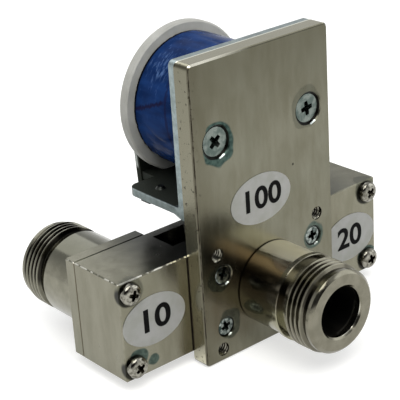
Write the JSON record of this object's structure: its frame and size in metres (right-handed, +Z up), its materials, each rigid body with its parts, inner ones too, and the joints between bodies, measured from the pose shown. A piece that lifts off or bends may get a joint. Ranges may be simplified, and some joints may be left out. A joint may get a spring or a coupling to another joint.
{
  "type": "coaxial antenna switch",
  "caption": "Coaxial antenna relay: nickel-plated connector block with threaded jacks, front plate, coil and pivoted armature.",
  "frame": {"origin": "on the front jack's axis, at the front face of the plate", "axes": "+X to the right seen from the front, +Y to the rear along the jacks, +Z up towards the coil"},
  "size_m": [0.061, 0.0538, 0.0552],
  "materials": {
    "satin_nickel": "satin nickel plating, warm and slightly tarnished",
    "polished_nickel": "bright nickel plating on turned threads",
    "zinc_plated": "bluish white zinc plating",
    "bright_screw": "bright plated screw steel",
    "soft_iron": "plated soft iron",
    "silver_contact": "silver plating",
    "beryllium_copper": "spring copper strip",
    "copper_wire": "enamelled copper",
    "white_insulator": "waxy white fluoropolymer",
    "bobbin_plastic": "matt light grey moulding",
    "tape": "glossy navy blue adhesive tape",
    "bar_plastic": "dark moulding",
    "label": "pale matt sticker"
  },
  "bodies": {
    "housing": {"front_plate": "satin_nickel", "rf_body": "satin_nickel", "bottom_cover": "satin_nickel", "com_jack": "polished_nickel", "no_jack": "polished_nickel", "nc_jack": "polished_nickel", "com_insulator": "white_insulator", "no_insulator": "white_insulator", "nc_insulator": "white_insulator", "com_contact": "silver_contact", "no_contact": "silver_contact", "nc_contact": "silver_contact", "yoke": "zinc_plated", "core": "soft_iron", "bobbin": "bobbin_plastic", "winding": "copper_wire", "tape_wrap": "tape", "coil_terminals": "silver_contact", "armature_spring": "beryllium_copper", "spring_rivets": "silver_contact", "yoke_screws": "bright_screw", "plate_screws": "bright_screw", "block_screws": "bright_screw", "flange_screws": "bright_screw", "bottom_cover_screws": "bright_screw", "com_label": "label", "no_label": "label", "nc_label": "label", "no_return_spring": "bright_screw", "nc_return_spring": "bright_screw"},
    "armature": {"armature": "zinc_plated", "residual_pad": "beryllium_copper", "crossbar": "bar_plastic"},
    "no_pusher": {"no_pusher": "white_insulator", "no_reed": "beryllium_copper"},
    "nc_pusher": {"nc_pusher": "white_insulator", "nc_reed": "beryllium_copper"}
  },
  "joints": [
    {"name": "armature_tilt", "type": "hinge", "parent": "housing", "child": "armature", "pos_m": [0, 0.0222, 0.01665], "axis": [1, 0, 0], "range_deg": [0, 4.3], "stiffness_Nm_per_rad": 0.07, "springref_deg": -5.73},
    {"name": "no_push", "type": "slide", "parent": "housing", "child": "no_pusher", "axis": [0, 0, -1], "range_m": [0, 0.00081], "deforming": ["no_return_spring"]},
    {"name": "nc_push", "type": "slide", "parent": "housing", "child": "nc_pusher", "axis": [0, 0, -1], "range_m": [0, 0.00081], "deforming": ["nc_return_spring"]}
  ],
  "couplings": [
    {"joint": "no_push", "follows": "armature_tilt", "m_per_rad": 0.01074},
    {"joint": "nc_push", "follows": "armature_tilt", "m_per_rad": 0.01074}
  ]
}
